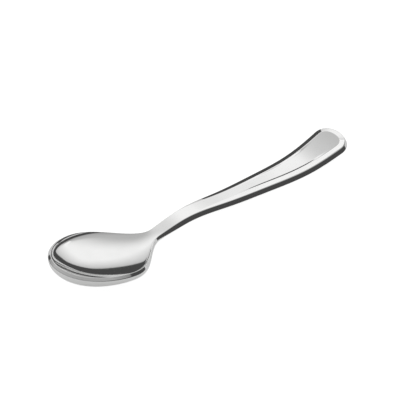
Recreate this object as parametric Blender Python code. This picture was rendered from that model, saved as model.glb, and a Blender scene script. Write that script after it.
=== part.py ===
"""Dessert spoon: one stamped, coined and polished piece of stainless steel, lying on a table.

X runs from the bowl's tip to the end of the handle, Y across and Z up. The origin is on the table, under the
middle of the spoon's box.
"""

import math

import bmesh
import bpy
import numpy as np

MM = 0.001

# Plan of the top face, along the spoon from the bowl's tip
LENGTH = 180 * MM
BOWL_LENGTH = 59.5 * MM
BOWL_WIDTH = 41.6 * MM
BOWL_WIDEST = 25.6 * MM
NECK_WIDTH = 6.6 * MM
HANDLE_WIDTH = 18.6 * MM
END_ROUND = 7.5 * MM

# How the outline curves: a roundness of 0.5 and a fullness of 2 make ellipses
TIP_ROUNDNESS = 0.48
SHOULDER_FULLNESS = 2.32
HANDLE_SPREAD = 1.37
END_FULLNESS = 2.15

# Side view: height of the top edge, from the tip to the end of the handle, before the spoon is laid down
TIP_HEIGHT = 17.5 * MM
WIDEST_HEIGHT = 12.1 * MM
HEEL_HEIGHT = 6.6 * MM
NECK_HEIGHT = 9.3 * MM
FIRST_QUARTER_HEIGHT = 6.5 * MM
HALFWAY_HEIGHT = 3.7 * MM
LAST_QUARTER_HEIGHT = 2.6 * MM
END_HEIGHT = 7.5 * MM
HEEL_SETBACK = 10.5 * MM
NECK_LENGTH = 17 * MM

# Bowl: depth inside, wall at the bottom, how much of the depth is steep wall at the rim, and the rim's width
BOWL_DEPTH = 6 * MM
BOWL_WALL = 2.2 * MM
WALL_SHARE = 0.29
WALL_TURN = 20
DEPTH_TILT = 0.45
UNDERSIDE_ROUNDNESS = 0.39
HEEL_RUN = 3.7 * MM
HEEL_FULLNESS = 3.1
RIM_WIDTH = 0.35 * MM
RIM_LIP = 0.15 * MM

# Edge all round: its height, how far it leans outwards and its rounding
BOWL_EDGE = 1.34 * MM
HANDLE_EDGE = 2.49 * MM
BOWL_LEAN = math.radians(45)
HANDLE_LEAN = math.radians(27)
LEAN_START = 30 * MM
LEAN_RUN = 24 * MM
EDGE_ROUND = 0.35 * MM

# Handle: sloping border round a shallow panel that fades out towards the neck
BORDER_WIDTH = 3.1 * MM
BORDER_FALL = 0.62 * MM
BORDER_START = 55 * MM
BORDER_RUN = 75 * MM
PANEL_DEPTH = 0.22 * MM
PANEL_STEP = 1.5 * MM
PANEL_LENGTH = 75 * MM
PANEL_FADE = 35 * MM
PANEL_RISE = 30 * MM
PANEL_RISE_RUN = 20 * MM

# Most that the border, the panel's step and the roundings take up where the spoon is narrow
BORDER_SHARE = 0.5
STEP_SHARE = 0.17
ROUND_SHARE = 0.33

# How far from a rounding the face beside it is held flat, as a share of the rounding
HOLD = 1.5

# Where it stands, the underside is worn flat by this much
WEAR_DEPTH = 0.1 * MM
LAYING_ROUNDS = 20

# Steps along the tip, the shoulders, the handle and the end, and across the top, the panel's step and so on
TIP_STEPS = 16
SHOULDER_STEPS = 18
HANDLE_STEPS = 30
END_STEPS = 9
TOP_STEPS = 10
STEP_STEPS = 3
ROUND_STEPS = 2
UNDERSIDE_STEPS = 9

STEEL_COLOUR = (0.86, 0.86, 0.855, 1)
STEEL_ROUGHNESS = 0.08
MERGE_DISTANCE = 0.002 * MM


def ease(x, start, run):
    """Rises smoothly from 0 at start to 1 a run further on."""
    t = np.clip((x - start) / run, 0, 1)
    return t**3 * (10 - 15 * t + 6 * t * t)


def fall_off(x, run, bend, fullness):
    """1 at x = 0, where it starts with this bend, and 0 a run further on, where it ends level."""
    along = np.clip(x / run, 0, 1)
    first = 2 * run / math.pi * math.sqrt(bend)
    return (1 + np.cos(math.pi * (first * along + (1 - first) * along**fullness))) / 2


def smooth_curve(stations, heights, x):
    """A natural cubic spline through the stations."""
    gaps = np.diff(stations)
    rises = np.diff(heights) / gaps
    matrix = np.eye(len(stations))
    wanted = np.zeros(len(stations))
    for i in range(1, len(stations) - 1):
        matrix[i, i - 1 : i + 2] = gaps[i - 1], 2 * (gaps[i - 1] + gaps[i]), gaps[i]
        wanted[i] = 3 * (rises[i] - rises[i - 1])
    bend = np.linalg.solve(matrix, wanted)
    i = np.clip(np.searchsorted(stations, x) - 1, 0, len(gaps) - 1)
    run = x - stations[i]
    slope = rises[i] - gaps[i] * (2 * bend[i] + bend[i + 1]) / 3
    return heights[i] + run * (slope + run * (bend[i] + run * (bend[i + 1] - bend[i]) / (3 * gaps[i])))


def top_edge_height(x):
    """Height of the rim and of the handle's top edge at this distance from the tip."""
    neck = BOWL_LENGTH + NECK_LENGTH
    bowl = np.array([0, BOWL_WIDEST, BOWL_LENGTH - HEEL_SETBACK])
    handle = np.linspace(neck, LENGTH, 5)
    heights = np.array(
        [
            TIP_HEIGHT,
            WIDEST_HEIGHT,
            HEEL_HEIGHT,
            NECK_HEIGHT,
            FIRST_QUARTER_HEIGHT,
            HALFWAY_HEIGHT,
            LAST_QUARTER_HEIGHT,
            END_HEIGHT,
        ]
    )
    return smooth_curve(np.concatenate([bowl, handle]), heights, x)


def half_outline():
    """One side of the top outline, tip to end: distance from the tip and half width."""
    neck = NECK_WIDTH / 2
    swell = BOWL_WIDTH / 2 - neck
    end_start = LENGTH - END_ROUND

    def handle_half_width(x):
        along = (x - BOWL_LENGTH) / (end_start - BOWL_LENGTH)
        return neck + (HANDLE_WIDTH / 2 - neck) * along**HANDLE_SPREAD

    turn = np.cos(np.linspace(0, math.pi / 2, TIP_STEPS + 1))
    tip_x = BOWL_WIDEST * (1 - turn)
    tip_half = BOWL_WIDTH / 2 * (1 - turn**2) ** TIP_ROUNDNESS

    shoulder_x = np.linspace(BOWL_WIDEST, BOWL_LENGTH, SHOULDER_STEPS + 1)[1:]
    bend = TIP_ROUNDNESS * BOWL_WIDTH / 2 / swell / BOWL_WIDEST**2
    drawn_in = fall_off(shoulder_x - BOWL_WIDEST, BOWL_LENGTH - BOWL_WIDEST, bend, SHOULDER_FULLNESS)
    shoulder_half = neck + swell * drawn_in

    handle_x = np.linspace(BOWL_LENGTH, end_start, HANDLE_STEPS + 1)[1:]

    turn = np.sin(np.linspace(0, math.pi / 2, END_STEPS + 1)[1:])
    end_x = end_start + END_ROUND * turn
    end_half = handle_half_width(end_x) * np.sqrt(np.clip(1 - turn**END_FULLNESS, 0, 1))

    x = np.concatenate([tip_x, shoulder_x, handle_x, end_x])
    half = np.concatenate([tip_half, shoulder_half, handle_half_width(handle_x), end_half])
    return x, half


def unit(along, up):
    """Direction of unit length."""
    size = np.hypot(along, up)
    return along / size, up / size


def rounded(corner, before, after, size):
    """Points round a corner from one face to the next, with one more on each face to hold it flat."""
    shares = [(HOLD, 0)]
    for t in np.linspace(0, 1, ROUND_STEPS + 1):
        shares.append(((1 - t) ** 2, t**2))
    shares.append((0, HOLD))
    points = []
    for near, far in shares:
        along = corner[0] + size * (near * before[0] + far * after[0])
        up = corner[1] + size * (near * before[1] + far * after[1])
        points.append((along, up))
    return points


def cup_profile(share, steepness):
    """How deep the bowl is at this share of the way to its rim, with a wall of this steepness there."""
    out = share**2
    wall = WALL_SHARE * steepness
    return (1 - wall) * (1 - out) + wall * (1 - out**WALL_TURN)


def cup_bend(share):
    """How the bowl bends at its widest place, along the bowl, so that both halves join smoothly."""
    out = share**2
    tip = (1 - WALL_SHARE + WALL_SHARE * WALL_TURN * out ** (WALL_TURN - 1)) * (1 - out) / BOWL_WIDEST**2
    wall = WALL_SHARE * (1 - out ** (WALL_TURN - 1)) / (BOWL_WIDTH / 2) ** 2
    return (tip + wall) / cup_profile(share, 1)


def deeper(x):
    """The bowl gets deeper towards its tip."""
    return 1 - DEPTH_TILT * (x - BOWL_WIDEST) / BOWL_WIDEST


def spoon_surface():
    """Points of the whole skin as [around, across, xyz].

    Around follows the outline. Across starts at the middle of the top face, goes out over the edge and comes
    back along the underside to its middle.
    """
    x, half = half_outline()
    y = np.concatenate([-half, half[-2:0:-1]])
    x = np.concatenate([x, x[-2:0:-1]])
    middle = np.clip(x, BOWL_WIDEST, LENGTH - END_ROUND)
    reach = np.hypot(x - middle, y)
    out_x = (x - middle) / reach
    out_y = y / reach

    handle = ease(middle, BOWL_LENGTH - HEEL_SETBACK, HEEL_SETBACK + NECK_LENGTH)
    bordered = ease(middle, BORDER_START, BORDER_RUN)
    hollow_run = BOWL_LENGTH + HEEL_RUN - BOWL_WIDEST
    belly = fall_off(middle - BOWL_WIDEST, hollow_run, UNDERSIDE_ROUNDNESS / BOWL_WIDEST**2, HEEL_FULLNESS)
    border = np.minimum(RIM_WIDTH + (BORDER_WIDTH - RIM_WIDTH) * bordered, BORDER_SHARE * reach)
    crown = BORDER_FALL * bordered * border / BORDER_WIDTH
    step = np.minimum(RIM_LIP + (PANEL_STEP - RIM_LIP) * bordered, STEP_SHARE * reach)
    panel = PANEL_DEPTH * ease(middle, LENGTH - PANEL_LENGTH, PANEL_FADE)
    panel *= 1 - ease(middle, LENGTH - PANEL_RISE, PANEL_RISE_RUN)
    edge = BOWL_EDGE + (HANDLE_EDGE - BOWL_EDGE) * handle
    lean = edge * np.tan(BOWL_LEAN + (HANDLE_LEAN - BOWL_LEAN) * ease(middle, LEAN_START, LEAN_RUN))
    steepness = np.where(x < BOWL_WIDEST, out_y**2, 1)

    section = []
    for share in np.sin(np.linspace(0, math.pi / 2, TOP_STEPS + 1))[:-1]:
        cup = fall_off(middle - BOWL_WIDEST, hollow_run, cup_bend(share), HEEL_FULLNESS)
        radius = (reach - border - step) * share
        hollow = BOWL_DEPTH * cup * cup_profile(share, steepness) * deeper(middle + out_x * radius)
        section.append((radius, crown - panel - hollow))
    for share in np.linspace(0, 1, STEP_STEPS + 1):
        section.append((reach - border - step * (1 - share), crown - panel * (1 - ease(share, 0, 1))))
    down = unit(lean, -edge)
    up = unit(-lean, edge)
    section += rounded((reach, 0), unit(-border, crown), down, np.minimum(EDGE_ROUND, ROUND_SHARE * border))
    sole_way = unit(-handle, handle - 1)
    section += rounded((reach + lean, -edge), up, sole_way, np.minimum(EDGE_ROUND, ROUND_SHARE * edge))
    foot, sole = section[-1]
    for share in np.sin(np.linspace(math.pi / 2, 0, UNDERSIDE_STEPS + 1))[1:]:
        hollow = (BOWL_DEPTH + BOWL_WALL + sole) * belly * (1 - share**2) ** UNDERSIDE_ROUNDNESS
        section.append((foot * share, sole - hollow * deeper(middle + out_x * foot * share)))

    rings = []
    for radius, rise in section:
        at_x = middle + out_x * radius
        rings.append(np.stack([at_x, out_y * radius, top_edge_height(at_x) + rise], axis=-1))
    return np.stack(rings, axis=1)


def lay_on_table(points):
    """Turns the spoon about Y until bowl and handle touch Z = 0, and wears their underside flat there."""
    x = points[..., 0]
    z = points[..., 2]
    on_bowl = x < BOWL_LENGTH
    slope = 0.0
    for _ in range(LAYING_ROUNDS):
        over = z - slope * x
        bowl = np.where(on_bowl, over, np.inf).argmin()
        handle = np.where(on_bowl, np.inf, over).argmin()
        slope = (z.flat[handle] - z.flat[bowl]) / (x.flat[handle] - x.flat[bowl])
    line = z.flat[bowl] + slope * (x - x.flat[bowl])
    over = np.maximum(z - line, WEAR_DEPTH) - WEAR_DEPTH
    tilt = math.atan(slope)
    along = x / math.cos(tilt) + over * math.sin(tilt)
    laid = np.stack([along, points[..., 1], over * math.cos(tilt)], axis=-1)
    laid[..., 0] -= (laid[..., 0].min() + laid[..., 0].max()) / 2
    return laid


def steel():
    material = bpy.data.materials.new("polished_steel")
    material.use_nodes = True
    shader = material.node_tree.nodes["Principled BSDF"]
    shader.inputs["Base Color"].default_value = STEEL_COLOUR
    shader.inputs["Metallic"].default_value = 1
    shader.inputs["Roughness"].default_value = STEEL_ROUGHNESS
    return material


def make_spoon():
    """A grid wrapped round the spoon: its seam, middle lines and poles are merged into one closed skin."""
    points = lay_on_table(spoon_surface())
    around, across = points.shape[:2]
    skin = bmesh.new()
    bmesh.ops.create_grid(skin, x_segments=across - 1, y_segments=around, size=LENGTH)
    skin.verts.ensure_lookup_table()
    for vertex in skin.verts:
        row, column = divmod(vertex.index, across)
        vertex.co = points[row % around, column]
    bmesh.ops.remove_doubles(skin, verts=skin.verts, dist=MERGE_DISTANCE)
    bmesh.ops.recalc_face_normals(skin, faces=skin.faces)
    mesh = bpy.data.meshes.new("spoon")
    skin.to_mesh(mesh)
    skin.free()
    mesh.shade_smooth()
    mesh.materials.append(steel())
    spoon = bpy.data.objects.new("spoon", mesh)
    bpy.context.collection.objects.link(spoon)
    return spoon


for leftover in list(bpy.data.objects):
    bpy.data.objects.remove(leftover)
make_spoon()
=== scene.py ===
"""Looks of the dessert spoon: the polished piece as a fine mesh, on a pale table in a small studio."""

import math

import bmesh
import bpy
import numpy as np
from mathutils import Matrix, Vector


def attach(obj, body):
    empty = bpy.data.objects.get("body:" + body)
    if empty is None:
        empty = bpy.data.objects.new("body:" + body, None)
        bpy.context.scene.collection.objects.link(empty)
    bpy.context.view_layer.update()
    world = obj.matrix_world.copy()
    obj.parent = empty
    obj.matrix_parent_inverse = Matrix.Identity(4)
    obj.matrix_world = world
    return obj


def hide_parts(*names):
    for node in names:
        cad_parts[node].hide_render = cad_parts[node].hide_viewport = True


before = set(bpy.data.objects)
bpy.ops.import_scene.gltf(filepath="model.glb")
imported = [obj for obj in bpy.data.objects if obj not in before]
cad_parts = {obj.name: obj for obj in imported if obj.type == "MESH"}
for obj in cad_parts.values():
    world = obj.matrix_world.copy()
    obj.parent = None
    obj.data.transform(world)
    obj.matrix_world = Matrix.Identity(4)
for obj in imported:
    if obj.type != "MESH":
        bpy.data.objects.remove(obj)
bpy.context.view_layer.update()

MM = 0.001

# Plan of the top face, along the spoon from the bowl's tip
LENGTH = 180 * MM
BOWL_LENGTH = 59.5 * MM
BOWL_WIDTH = 41.6 * MM
BOWL_WIDEST = 25.6 * MM
NECK_WIDTH = 6.6 * MM
HANDLE_WIDTH = 18.6 * MM
END_ROUND = 7.5 * MM

# How the outline curves: a roundness of 0.5 and a fullness of 2 make ellipses
TIP_ROUNDNESS = 0.48
SHOULDER_FULLNESS = 2.32
HANDLE_SPREAD = 1.37
END_FULLNESS = 2.15

# Side view: height of the top edge, from the tip to the end of the handle, before the spoon is laid down
TIP_HEIGHT = 17.5 * MM
WIDEST_HEIGHT = 12.1 * MM
HEEL_HEIGHT = 6.6 * MM
NECK_HEIGHT = 9.3 * MM
FIRST_QUARTER_HEIGHT = 6.5 * MM
HALFWAY_HEIGHT = 3.7 * MM
LAST_QUARTER_HEIGHT = 2.6 * MM
END_HEIGHT = 7.5 * MM
HEEL_SETBACK = 10.5 * MM
NECK_LENGTH = 17 * MM

# Bowl: depth inside, wall at the bottom, how much of the depth is steep wall at the rim, and the rim's width
BOWL_DEPTH = 6 * MM
BOWL_WALL = 2.2 * MM
WALL_SHARE = 0.29
WALL_TURN = 20
DEPTH_TILT = 0.45
UNDERSIDE_ROUNDNESS = 0.39
HEEL_RUN = 3.7 * MM
HEEL_FULLNESS = 3.1
RIM_WIDTH = 0.2 * MM
RIM_LIP = 0.1 * MM

# Edge all round: its height, lean and rounding
BOWL_EDGE = 1.34 * MM
HANDLE_EDGE = 2.49 * MM
BOWL_LEAN = math.radians(45)
HANDLE_LEAN = math.radians(27)
LEAN_START = 30 * MM
LEAN_RUN = 24 * MM
EDGE_ROUND = 0.35 * MM

# Handle: sloping border round a shallow panel that fades out towards the neck
BORDER_WIDTH = 2.7 * MM
BORDER_FALL = 0.54 * MM
BORDER_START = 55 * MM
BORDER_RUN = 75 * MM
PANEL_DEPTH = 0.24 * MM
PANEL_STEP = 1.4 * MM
PANEL_LENGTH = 75 * MM
PANEL_FADE = 35 * MM
PANEL_RISE = 30 * MM
PANEL_RISE_RUN = 20 * MM

# Most that the border, the panel's step and the roundings take up where the spoon is narrow
BORDER_SHARE = 0.5
STEP_SHARE = 0.17
ROUND_SHARE = 0.33

# How far from a rounding, and how far across the border, a ring of points holds the face flat, as shares
HOLD = 1.5
BORDER_HOLD = 0.9

# Where it stands, the underside is worn flat by this much
WEAR_DEPTH = 0.1 * MM
LAYING_ROUNDS = 20

# Steps of the mesh along the tip, the shoulders, the handle and the end, and across
TIP_STEPS = 48
SHOULDER_STEPS = 48
HANDLE_STEPS = 100
END_STEPS = 32
TOP_STEPS = 30
STEP_STEPS = 6
ROUND_STEPS = 6
UNDERSIDE_STEPS = 26
MERGE_DISTANCE = 0.0005 * MM

# Camera: where it stands, its lens and sensor, and the point it aims at
CAMERA_AZIMUTH = math.radians(40.96)
CAMERA_ELEVATION = math.radians(37.06)
CAMERA_DISTANCE = 1.906
CAMERA_LENS = 352.1
CAMERA_SENSOR = 36
AIM = Vector((0, 0, 0.008))
AIM_RIGHT = -1.105 * MM
AIM_UP = 1.618 * MM

# Steel: its colour, and how rough the polish is where it is clean, smudged and scratched
STEEL_COLOUR = (0.86, 0.86, 0.855, 1)
SMUDGE_COLOUR = (0.83, 0.83, 0.825, 1)
CLEAN_ROUGHNESS = 0.05
SMUDGE_ROUGHNESS = 0.085
SCRATCH_ROUGHNESS = 0.05
SMUDGES_PER_METRE = 55
SMUDGE_DETAIL = 3
SMUDGE_START = 0.4
SMUDGE_FULL = 0.7
SCRATCH_ALONG = 90
SCRATCH_ACROSS = 4200
SCRATCH_DETAIL = 2
SCRATCH_LEVEL = 0.6
SCRATCH_STRENGTH = 0.04
SCRATCH_DEPTH = 0.004 * MM

# Studio, by direction: to the right and to the far side as the camera sees them, and up.
# The screen is dim on the camera's side, turns bright towards its own side, and fades down to its foot
SCREEN_SIDE = (0.07, 1, 0)
SCREEN_DIM = 0.36
SCREEN_MIDDLE = 0.53
SCREEN_BRIGHT = 1.02
SCREEN_TURN = 0.5
SCREEN_FULL = 0.74
SCREEN_FOOT = 0.55
SCREEN_RISE = 0.3
DARK_SHADE = 0.067
DARK_EDGE = 0.02

# Dark cards: each is dark where a direction is below all its slopes.
# A slope says how much right, far and up count, and the level that their sum stays under
DARK_CARDS = [
    ((0.37, -0.32, 1, 0), (0, -1, 0, -0.25), (-1, 0, 0, 0.27)),
    ((-0.508, 0.151, 1, 0), (-1, 0, 0, -0.1)),
    ((0, 0, 1, 0.17),),
]

# Two small cards over the table, by place and size, which only the steel mirrors
WHITE_CARD_PLACE = (70 * MM, 105 * MM, 120 * MM)
WHITE_CARD_WIDTH = 38 * MM
WHITE_CARD_DEPTH = 66 * MM
WHITE_CARD_SHADE = 1.05
BLACK_CARD_PLACE = (22 * MM, 134 * MM, 40 * MM)
BLACK_CARD_WIDTH = 42 * MM
BLACK_CARD_DEPTH = 64 * MM

# Table: its reach, its paint, and how brightly it glows to the eye and, less so, in the steel
TABLE_WIDTH = 2.4
TABLE_NEAR = 1.2
TABLE_FAR = 0.6
TABLE_PAINT = 0.7
TABLE_SEEN = 0.8
TABLE_MIRRORED = 0.32


def ease(x, start, run):
    """Rises smoothly from 0 at start to 1 a run further on."""
    t = np.clip((x - start) / run, 0, 1)
    return t**3 * (10 - 15 * t + 6 * t * t)


def fall_off(x, run, bend, fullness):
    """1 at x = 0, where it starts with this bend, and 0 a run further on, where it ends level."""
    along = np.clip(x / run, 0, 1)
    first = 2 * run / math.pi * math.sqrt(bend)
    return (1 + np.cos(math.pi * (first * along + (1 - first) * along**fullness))) / 2


def smooth_curve(stations, heights, x):
    """A natural cubic spline through the stations."""
    gaps = np.diff(stations)
    rises = np.diff(heights) / gaps
    matrix = np.eye(len(stations))
    wanted = np.zeros(len(stations))
    for i in range(1, len(stations) - 1):
        matrix[i, i - 1 : i + 2] = gaps[i - 1], 2 * (gaps[i - 1] + gaps[i]), gaps[i]
        wanted[i] = 3 * (rises[i] - rises[i - 1])
    bend = np.linalg.solve(matrix, wanted)
    i = np.clip(np.searchsorted(stations, x) - 1, 0, len(gaps) - 1)
    run = x - stations[i]
    slope = rises[i] - gaps[i] * (2 * bend[i] + bend[i + 1]) / 3
    return heights[i] + run * (slope + run * (bend[i] + run * (bend[i + 1] - bend[i]) / (3 * gaps[i])))


def top_edge_height(x):
    """Height of the rim and of the handle's top edge at this distance from the tip."""
    neck = BOWL_LENGTH + NECK_LENGTH
    bowl = np.array([0, BOWL_WIDEST, BOWL_LENGTH - HEEL_SETBACK])
    handle = np.linspace(neck, LENGTH, 5)
    heights = np.array(
        [
            TIP_HEIGHT,
            WIDEST_HEIGHT,
            HEEL_HEIGHT,
            NECK_HEIGHT,
            FIRST_QUARTER_HEIGHT,
            HALFWAY_HEIGHT,
            LAST_QUARTER_HEIGHT,
            END_HEIGHT,
        ]
    )
    return smooth_curve(np.concatenate([bowl, handle]), heights, x)


def half_outline():
    """One side of the top outline, tip to end: distance from the tip and half width."""
    neck = NECK_WIDTH / 2
    swell = BOWL_WIDTH / 2 - neck
    end_start = LENGTH - END_ROUND

    def handle_half_width(x):
        along = (x - BOWL_LENGTH) / (end_start - BOWL_LENGTH)
        return neck + (HANDLE_WIDTH / 2 - neck) * along**HANDLE_SPREAD

    turn = np.cos(np.linspace(0, math.pi / 2, TIP_STEPS + 1))
    tip_x = BOWL_WIDEST * (1 - turn)
    tip_half = BOWL_WIDTH / 2 * (1 - turn**2) ** TIP_ROUNDNESS

    shoulder_x = np.linspace(BOWL_WIDEST, BOWL_LENGTH, SHOULDER_STEPS + 1)[1:]
    bend = TIP_ROUNDNESS * BOWL_WIDTH / 2 / swell / BOWL_WIDEST**2
    drawn_in = fall_off(shoulder_x - BOWL_WIDEST, BOWL_LENGTH - BOWL_WIDEST, bend, SHOULDER_FULLNESS)
    shoulder_half = neck + swell * drawn_in

    handle_x = np.linspace(BOWL_LENGTH, end_start, HANDLE_STEPS + 1)[1:]

    turn = np.sin(np.linspace(0, math.pi / 2, END_STEPS + 1)[1:])
    end_x = end_start + END_ROUND * turn
    end_half = handle_half_width(end_x) * np.sqrt(np.clip(1 - turn**END_FULLNESS, 0, 1))

    x = np.concatenate([tip_x, shoulder_x, handle_x, end_x])
    half = np.concatenate([tip_half, shoulder_half, handle_half_width(handle_x), end_half])
    return x, half


def unit(along, up):
    """Direction of unit length."""
    size = np.hypot(along, up)
    return along / size, up / size


def rounded(corner, before, after, size):
    """Points round a corner from one face to the next, with one more on each face to hold it flat."""
    shares = [(HOLD, 0)]
    for t in np.linspace(0, 1, ROUND_STEPS + 1):
        shares.append(((1 - t) ** 2, t**2))
    shares.append((0, HOLD))
    points = []
    for near, far in shares:
        along = corner[0] + size * (near * before[0] + far * after[0])
        up = corner[1] + size * (near * before[1] + far * after[1])
        points.append((along, up))
    return points


def cup_profile(share, steepness):
    """How deep the bowl is at this share of the way to its rim, with a wall of this steepness there."""
    out = share**2
    wall = WALL_SHARE * steepness
    return (1 - wall) * (1 - out) + wall * (1 - out**WALL_TURN)


def cup_bend(share):
    """How the bowl bends at its widest place, along the bowl, so that both halves join smoothly."""
    out = share**2
    tip = (1 - WALL_SHARE + WALL_SHARE * WALL_TURN * out ** (WALL_TURN - 1)) * (1 - out) / BOWL_WIDEST**2
    wall = WALL_SHARE * (1 - out ** (WALL_TURN - 1)) / (BOWL_WIDTH / 2) ** 2
    return (tip + wall) / cup_profile(share, 1)


def deeper(x):
    """The bowl gets deeper towards its tip."""
    return 1 - DEPTH_TILT * (x - BOWL_WIDEST) / BOWL_WIDEST


def spoon_surface():
    """Points of the whole skin as [around, across, xyz].

    Around follows the outline. Across starts at the middle of the top face, goes out over the edge and comes
    back along the underside to its middle.
    """
    x, half = half_outline()
    y = np.concatenate([-half, half[-2:0:-1]])
    x = np.concatenate([x, x[-2:0:-1]])
    middle = np.clip(x, BOWL_WIDEST, LENGTH - END_ROUND)
    reach = np.hypot(x - middle, y)
    out_x = (x - middle) / reach
    out_y = y / reach

    handle = ease(middle, BOWL_LENGTH - HEEL_SETBACK, HEEL_SETBACK + NECK_LENGTH)
    bordered = ease(middle, BORDER_START, BORDER_RUN)
    hollow_run = BOWL_LENGTH + HEEL_RUN - BOWL_WIDEST
    belly = fall_off(middle - BOWL_WIDEST, hollow_run, UNDERSIDE_ROUNDNESS / BOWL_WIDEST**2, HEEL_FULLNESS)
    border = np.minimum(RIM_WIDTH + (BORDER_WIDTH - RIM_WIDTH) * bordered, BORDER_SHARE * reach)
    crown = BORDER_FALL * bordered * border / BORDER_WIDTH
    step = np.minimum(RIM_LIP + (PANEL_STEP - RIM_LIP) * bordered, STEP_SHARE * reach)
    panel = PANEL_DEPTH * ease(middle, LENGTH - PANEL_LENGTH, PANEL_FADE)
    panel *= 1 - ease(middle, LENGTH - PANEL_RISE, PANEL_RISE_RUN)
    edge = BOWL_EDGE + (HANDLE_EDGE - BOWL_EDGE) * handle
    lean = edge * np.tan(BOWL_LEAN + (HANDLE_LEAN - BOWL_LEAN) * ease(middle, LEAN_START, LEAN_RUN))
    steepness = np.where(x < BOWL_WIDEST, out_y**2, 1)

    section = []
    for share in np.sin(np.linspace(0, math.pi / 2, TOP_STEPS + 1))[:-1]:
        cup = fall_off(middle - BOWL_WIDEST, hollow_run, cup_bend(share), HEEL_FULLNESS)
        radius = (reach - border - step) * share
        hollow = BOWL_DEPTH * cup * cup_profile(share, steepness) * deeper(middle + out_x * radius)
        section.append((radius, crown - panel - hollow))
    for share in np.linspace(0, 1, STEP_STEPS + 1):
        section.append((reach - border - step * (1 - share), crown - panel * (1 - ease(share, 0, 1))))
    section.append((reach - BORDER_HOLD * border, BORDER_HOLD * crown))
    down = unit(lean, -edge)
    up = unit(-lean, edge)
    top_round = np.minimum(EDGE_ROUND, ROUND_SHARE * border)
    section += rounded((reach, 0), unit(-border, crown), down, top_round)
    foot_round = np.minimum(EDGE_ROUND, ROUND_SHARE * edge)
    section += rounded((reach + lean, -edge), up, unit(-handle, handle - 1), foot_round)
    foot, sole = section[-1]
    for share in np.sin(np.linspace(math.pi / 2, 0, UNDERSIDE_STEPS + 1))[1:]:
        hollow = (BOWL_DEPTH + BOWL_WALL + sole) * belly * (1 - share**2) ** UNDERSIDE_ROUNDNESS
        section.append((foot * share, sole - hollow * deeper(middle + out_x * foot * share)))

    rings = []
    for radius, rise in section:
        at_x = middle + out_x * radius
        rings.append(np.stack([at_x, out_y * radius, top_edge_height(at_x) + rise], axis=-1))
    return np.stack(rings, axis=1)


def lay_on_table(points):
    """Turns the spoon about Y until bowl and handle both touch Z = 0, and wears their underside flat there."""
    x = points[..., 0]
    z = points[..., 2]
    on_bowl = x < BOWL_LENGTH
    slope = 0.0
    for _ in range(LAYING_ROUNDS):
        over = z - slope * x
        bowl = np.where(on_bowl, over, np.inf).argmin()
        handle = np.where(on_bowl, np.inf, over).argmin()
        slope = (z.flat[handle] - z.flat[bowl]) / (x.flat[handle] - x.flat[bowl])
    line = z.flat[bowl] + slope * (x - x.flat[bowl])
    over = np.maximum(z - line, WEAR_DEPTH) - WEAR_DEPTH
    tilt = math.atan(slope)
    along = x / math.cos(tilt) + over * math.sin(tilt)
    laid = np.stack([along, points[..., 1], over * math.cos(tilt)], axis=-1)
    laid[..., 0] -= (laid[..., 0].min() + laid[..., 0].max()) / 2
    return laid


def math_node(tree, operation, first, second):
    """One step of arithmetic on two values, each a socket or a number."""
    node = tree.nodes.new("ShaderNodeMath")
    node.operation = operation
    for socket, value in zip(node.inputs, (first, second)):
        if isinstance(value, bpy.types.NodeSocket):
            tree.links.new(value, socket)
        else:
            socket.default_value = value
    return node.outputs["Value"]


def range_node(tree, value, start, end, low, high, smooth=False):
    """Takes a value from one range to another and stops at its ends."""
    node = tree.nodes.new("ShaderNodeMapRange")
    if smooth:
        node.interpolation_type = "SMOOTHSTEP"
    node.inputs["From Min"].default_value = start
    node.inputs["From Max"].default_value = end
    node.inputs["To Min"].default_value = low
    node.inputs["To Max"].default_value = high
    tree.links.new(value, node.inputs["Value"])
    return node.outputs["Result"]


def polish_marks():
    """Marks of polishing and use, as a node group: fine scratches along the spoon over soft smudges."""
    group = bpy.data.node_groups.new("polish_marks", "ShaderNodeTree")
    group.interface.new_socket("Colour", in_out="OUTPUT", socket_type="NodeSocketColor")
    for name in ("Roughness", "Height"):
        group.interface.new_socket(name, in_out="OUTPUT", socket_type="NodeSocketFloat")
    nodes = group.nodes
    link = group.links.new
    out = nodes.new("NodeGroupOutput")
    place = nodes.new("ShaderNodeTexCoord")
    smudge = nodes.new("ShaderNodeTexNoise")
    smudge.inputs["Scale"].default_value = SMUDGES_PER_METRE
    smudge.inputs["Detail"].default_value = SMUDGE_DETAIL
    link(place.outputs["Object"], smudge.inputs["Vector"])
    smudged = range_node(group, smudge.outputs["Fac"], SMUDGE_START, SMUDGE_FULL, 0, 1, smooth=True)
    stretch = nodes.new("ShaderNodeMapping")
    stretch.inputs["Scale"].default_value = (SCRATCH_ALONG, SCRATCH_ACROSS, SCRATCH_ACROSS)
    link(place.outputs["Object"], stretch.inputs["Vector"])
    grain = nodes.new("ShaderNodeTexNoise")
    grain.inputs["Scale"].default_value = 1
    grain.inputs["Detail"].default_value = SCRATCH_DETAIL
    link(stretch.outputs["Vector"], grain.inputs["Vector"])
    scratched = range_node(group, grain.outputs["Fac"], SCRATCH_LEVEL, 1, 0, 1)
    tint = nodes.new("ShaderNodeMix")
    tint.data_type = "RGBA"
    tint.inputs["A"].default_value = STEEL_COLOUR
    tint.inputs["B"].default_value = SMUDGE_COLOUR
    link(smudged, tint.inputs["Factor"])
    link(tint.outputs["Result"], out.inputs["Colour"])
    soft = range_node(group, smudged, 0, 1, CLEAN_ROUGHNESS, SMUDGE_ROUGHNESS)
    rough = math_node(group, "MULTIPLY", scratched, SCRATCH_ROUGHNESS)
    link(math_node(group, "ADD", soft, rough), out.inputs["Roughness"])
    link(math_node(group, "SUBTRACT", 1, scratched), out.inputs["Height"])
    return group


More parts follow.
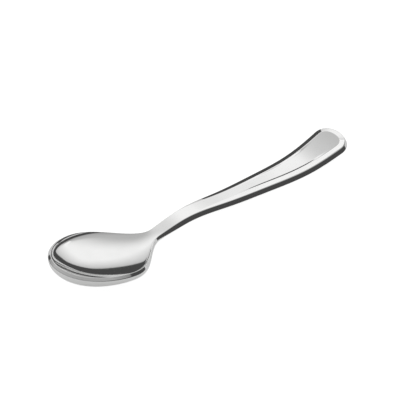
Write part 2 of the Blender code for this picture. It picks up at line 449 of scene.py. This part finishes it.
def polished_steel():
    """Bright steel whose colour, roughness and bump follow the polish marks."""
    material = bpy.data.materials.new("polished_steel")
    material.use_nodes = True
    tree = material.node_tree
    shader = tree.nodes["Principled BSDF"]
    shader.inputs["Metallic"].default_value = 1
    marks = tree.nodes.new("ShaderNodeGroup")
    marks.node_tree = polish_marks()
    tree.links.new(marks.outputs["Colour"], shader.inputs["Base Color"])
    tree.links.new(marks.outputs["Roughness"], shader.inputs["Roughness"])
    bump = tree.nodes.new("ShaderNodeBump")
    bump.inputs["Strength"].default_value = SCRATCH_STRENGTH
    bump.inputs["Distance"].default_value = SCRATCH_DEPTH
    tree.links.new(marks.outputs["Height"], bump.inputs["Height"])
    tree.links.new(bump.outputs["Normal"], shader.inputs["Normal"])
    return material


def make_spoon():
    """A grid wrapped round the spoon: its seam, middle lines and poles are merged into one closed skin."""
    points = lay_on_table(spoon_surface())
    around, across = points.shape[:2]
    skin = bmesh.new()
    bmesh.ops.create_grid(skin, x_segments=across - 1, y_segments=around, size=LENGTH)
    skin.verts.ensure_lookup_table()
    for vertex in skin.verts:
        row, column = divmod(vertex.index, across)
        vertex.co = points[row % around, column]
    bmesh.ops.remove_doubles(skin, verts=skin.verts, dist=MERGE_DISTANCE)
    bmesh.ops.recalc_face_normals(skin, faces=skin.faces)
    mesh = bpy.data.meshes.new("dessert_spoon")
    skin.to_mesh(mesh)
    skin.free()
    mesh.shade_smooth()
    mesh.materials.append(polished_steel())
    spoon = bpy.data.objects.new("dessert_spoon", mesh)
    bpy.context.collection.objects.link(spoon)
    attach(spoon, "root")
    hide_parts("spoon")


def white_table():
    """Pale table paint: white to the eye, light grey in the steel, keeping the spoon's soft shadow."""
    material = bpy.data.materials.new("white_table")
    material.use_nodes = True
    tree = material.node_tree
    nodes = tree.nodes
    nodes.clear()
    out = nodes.new("ShaderNodeOutputMaterial")
    paint = nodes.new("ShaderNodeBsdfDiffuse")
    paint.inputs["Color"].default_value = (TABLE_PAINT, TABLE_PAINT, TABLE_PAINT, 1)
    path = nodes.new("ShaderNodeLightPath")
    mirrored = math_node(tree, "MAXIMUM", path.outputs["Is Glossy Ray"], path.outputs["Is Transmission Ray"])
    seen = math_node(tree, "MULTIPLY", path.outputs["Is Camera Ray"], TABLE_SEEN)
    mirrored = math_node(tree, "MULTIPLY", mirrored, TABLE_MIRRORED)
    glow = nodes.new("ShaderNodeEmission")
    tree.links.new(math_node(tree, "MAXIMUM", seen, mirrored), glow.inputs["Strength"])
    both = nodes.new("ShaderNodeAddShader")
    tree.links.new(paint.outputs[0], both.inputs[0])
    tree.links.new(glow.outputs[0], both.inputs[1])
    tree.links.new(both.outputs[0], out.inputs["Surface"])
    return material


def studio_direction(right, far, up):
    """A direction or place given to the right and to the far side as the camera sees them."""
    x = right * math.cos(CAMERA_AZIMUTH) + far * math.sin(CAMERA_AZIMUTH)
    y = far * math.cos(CAMERA_AZIMUTH) - right * math.sin(CAMERA_AZIMUTH)
    return Vector((x, y, up))


def stage_sheet(name, material, width, depth):
    """A flat sheet that belongs to the studio."""
    sheet = bmesh.new()
    bmesh.ops.create_grid(sheet, x_segments=1, y_segments=1, size=1)
    bmesh.ops.scale(sheet, vec=(width / 2, depth / 2, 1), verts=sheet.verts)
    mesh = bpy.data.meshes.new(name)
    sheet.to_mesh(mesh)
    sheet.free()
    mesh.materials.append(material)
    stage = bpy.data.objects.new(name, mesh)
    bpy.context.collection.objects.link(stage)
    return stage


def lay_table():
    """The table reaches further to the camera's side than to the far side."""
    table = stage_sheet("table", white_table(), TABLE_WIDTH, TABLE_NEAR + TABLE_FAR)
    place = studio_direction(0, (TABLE_FAR - TABLE_NEAR) / 2, 0)
    table.matrix_world = Matrix.Translation(place) @ Matrix.Rotation(-CAMERA_AZIMUTH, 4, "Z")


def hang_card(name, shade, place, width, depth):
    """A small card over the table, which only the steel mirrors."""
    material = bpy.data.materials.new(name)
    material.use_nodes = True
    tree = material.node_tree
    tree.nodes.clear()
    out = tree.nodes.new("ShaderNodeOutputMaterial")
    glow = tree.nodes.new("ShaderNodeEmission")
    glow.inputs["Strength"].default_value = shade
    tree.links.new(glow.outputs[0], out.inputs["Surface"])
    card = stage_sheet(name, material, width, depth)
    card.matrix_world = Matrix.Translation(studio_direction(*place)) @ Matrix.Rotation(-CAMERA_AZIMUTH, 4, "Z")
    card.visible_camera = False
    card.visible_diffuse = False
    card.visible_shadow = False


def light_studio():
    """A pale screen that is brightest on its own side, above dark cards."""
    world = bpy.data.worlds.new("studio")
    bpy.context.scene.world = world
    world.use_nodes = True
    tree = world.node_tree
    nodes = tree.nodes
    nodes.clear()
    out = nodes.new("ShaderNodeOutputWorld")
    sky = nodes.new("ShaderNodeBackground")
    sky.inputs["Color"].default_value = (1, 1, 1, 1)
    direction = nodes.new("ShaderNodeTexCoord")

    def along(right, far, up):
        node = nodes.new("ShaderNodeVectorMath")
        node.operation = "DOT_PRODUCT"
        node.inputs[1].default_value = studio_direction(right, far, up)
        tree.links.new(direction.outputs["Generated"], node.inputs[0])
        return node.outputs["Value"]

    def over(slope):
        return math_node(tree, "SUBTRACT", along(*slope[:3]), slope[3])

    toward = along(*SCREEN_SIDE)
    dim = range_node(tree, toward, -1, SCREEN_TURN, SCREEN_DIM, SCREEN_MIDDLE)
    bright = range_node(tree, toward, SCREEN_TURN, SCREEN_FULL, 0, SCREEN_BRIGHT - SCREEN_MIDDLE, smooth=True)
    screen = math_node(tree, "ADD", dim, bright)
    above = 1
    for slopes in DARK_CARDS:
        beyond = over(slopes[0])
        for slope in slopes[1:]:
            beyond = math_node(tree, "MAXIMUM", beyond, over(slope))
        above = math_node(tree, "MINIMUM", beyond, above)
    open_sky = range_node(tree, above, -DARK_EDGE, DARK_EDGE, 0, 1, smooth=True)
    rising = range_node(tree, above, 0, SCREEN_RISE, SCREEN_FOOT, 1)
    lit = math_node(tree, "MULTIPLY", math_node(tree, "MULTIPLY", open_sky, rising), screen)
    tree.links.new(math_node(tree, "MAXIMUM", lit, DARK_SHADE), sky.inputs["Strength"])
    tree.links.new(sky.outputs[0], out.inputs["Surface"])


def place_camera():
    """A long lens at the photograph's viewing angle."""
    away = Vector(
        (
            math.sin(CAMERA_AZIMUTH) * math.cos(CAMERA_ELEVATION),
            math.cos(CAMERA_AZIMUTH) * math.cos(CAMERA_ELEVATION),
            -math.sin(CAMERA_ELEVATION),
        )
    )
    right = Vector((math.cos(CAMERA_AZIMUTH), -math.sin(CAMERA_AZIMUTH), 0))
    up = right.cross(away)
    data = bpy.data.cameras.new("camera")
    data.sensor_width = CAMERA_SENSOR
    data.lens = CAMERA_LENS
    camera = bpy.data.objects.new("camera", data)
    bpy.context.collection.objects.link(camera)
    place = AIM + AIM_RIGHT * right + AIM_UP * up - CAMERA_DISTANCE * away
    camera.matrix_world = Matrix.Translation(place) @ Matrix((right, up, -away)).transposed().to_4x4()
    bpy.context.scene.camera = camera


make_spoon()
lay_table()
hang_card("white_card", WHITE_CARD_SHADE, WHITE_CARD_PLACE, WHITE_CARD_WIDTH, WHITE_CARD_DEPTH)
hang_card("black_card", DARK_SHADE, BLACK_CARD_PLACE, BLACK_CARD_WIDTH, BLACK_CARD_DEPTH)
light_studio()
place_camera()
bpy.context.scene.view_settings.view_transform = "Standard"
